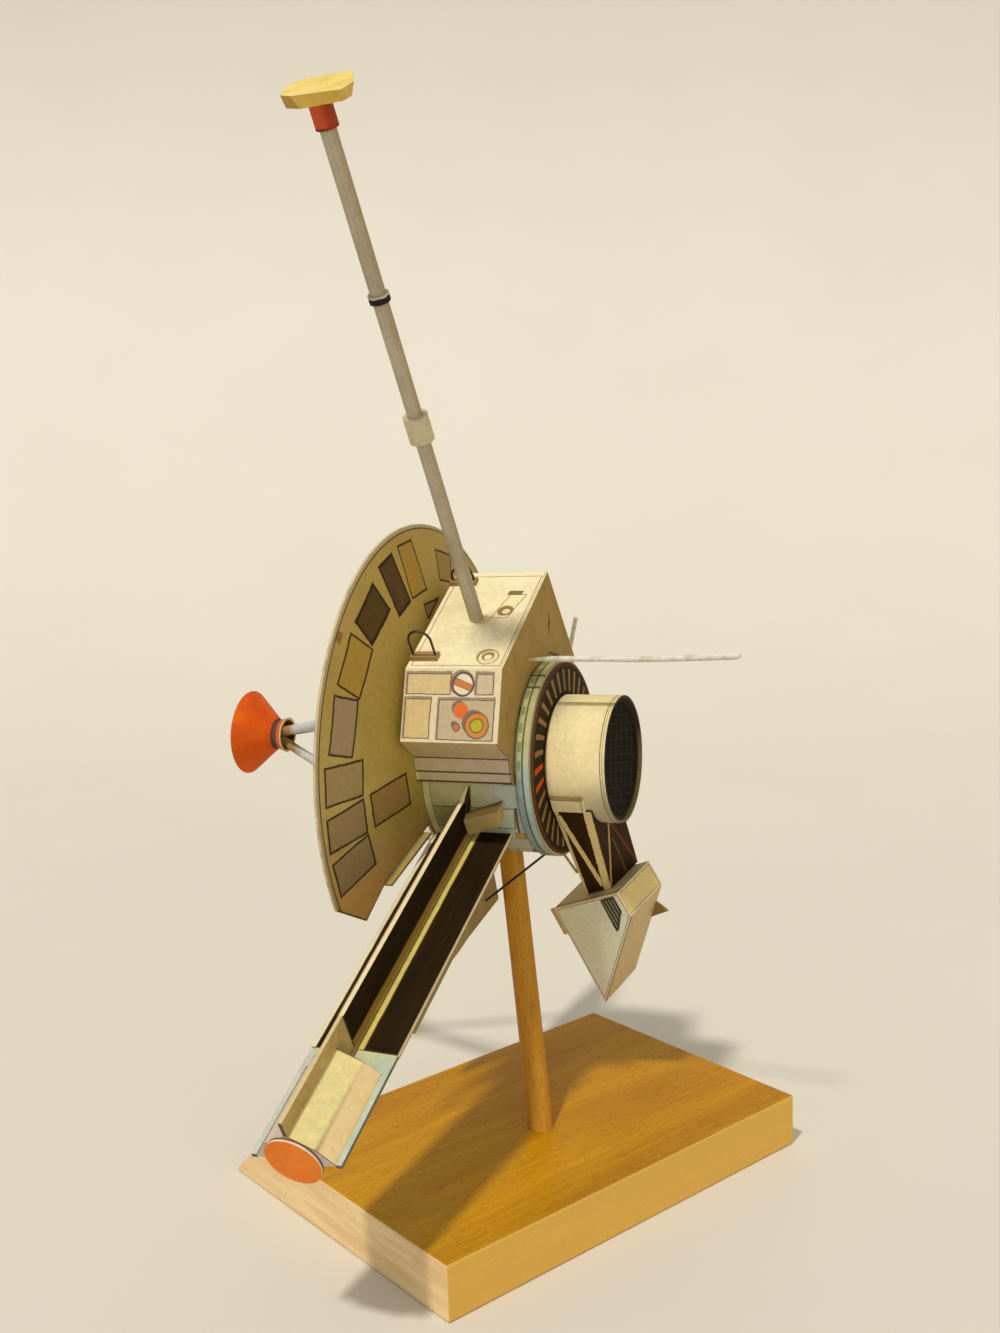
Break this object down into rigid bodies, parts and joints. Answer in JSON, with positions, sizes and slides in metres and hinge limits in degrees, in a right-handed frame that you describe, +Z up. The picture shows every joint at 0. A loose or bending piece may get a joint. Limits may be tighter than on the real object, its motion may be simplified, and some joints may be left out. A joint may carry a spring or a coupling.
{
  "type": "card model of a deep-space probe on a wooden stand",
  "caption": "Card model of a deep-space probe: dish, feed horn, drum, equipment box, mast, finned boom and hanging pod, on a tilted dowel in a bevelled wooden block.",
  "frame": {"origin": "centre of the wooden block's underside", "axes": "+Z up, X along the block's length, Y across it with +Y the bevelled long side; the boom and the picture's camera are on the -X -Y side"},
  "size_m": [0.1964, 0.1718, 0.3379],
  "materials": {
    "beech": "oiled beech",
    "dowel_beech": "bare beech dowel",
    "card_cream": "printed cream card, matt",
    "card_tan": "printed ochre-tan card, matt",
    "card_dish": "printed ochre card, matt",
    "card_blue_green": "printed blue-green card, matt",
    "card_pale_green": "printed pale grey-green card, matt",
    "card_dark": "printed dark-brown card, matt",
    "card_blue_grey": "printed pale blue-grey card, matt",
    "card_orange": "printed orange-red card, matt",
    "card_violet": "printed grey-violet card, matt",
    "card_pink_red": "printed pink-red card, matt",
    "card_yellow": "printed yellow card, matt",
    "paper_mast": "rolled grey-beige paper, matt",
    "white_rod": "off-white rod, satin",
    "black_wire": "thin black wire"
  },
  "bodies": {
    "root": {"adapter_cylinder": "card_cream", "adapter_tab": "card_cream", "base_block": "beech", "boom_fin_down": "card_dark", "boom_fin_left": "card_dark", "boom_fin_right": "card_dark", "boom_fin_up": "card_dark", "boom_gusset": "card_tan", "boom_spine": "card_dark", "dish_edge_flange": "card_tan", "dish_shell": "card_dish", "drum_shell": "card_pale_green", "equipment_box": "card_cream", "generator_body": "card_cream", "generator_end_disc": "card_orange", "generator_fin_down": "card_blue_grey", "generator_fin_left": "card_blue_grey", "generator_fin_right": "card_blue_grey", "generator_fin_up": "card_blue_grey", "grid_disc": "card_dark", "horn_band": "card_violet", "horn_cone": "card_orange", "horn_leg_1": "white_rod", "horn_leg_2": "white_rod", "horn_leg_3": "white_rod", "horn_neck": "card_pink_red", "long_whip": "white_rod", "loop_pad_far": "card_tan", "loop_pad_near": "card_tan", "louver_disc": "card_dark", "mast_black_ring": "black_wire", "mast_cap": "card_orange", "mast_collar": "card_cream", "mast_tube": "paper_mast", "pod_body": "card_blue_grey", "pod_fin": "card_tan", "pod_side_tab": "card_cream", "rim_ring_inner": "card_blue_green", "rim_ring_outer": "card_blue_green", "root_bracket": "card_tan", "sensor_block": "card_yellow", "short_whip": "white_rod", "stand_dowel": "dowel_beech", "truss": "card_dark", "truss_rod": "card_tan", "wire_loop_far": "black_wire", "wire_loop_near": "black_wire", "wire_stay": "black_wire"}
  },
  "joints": []
}
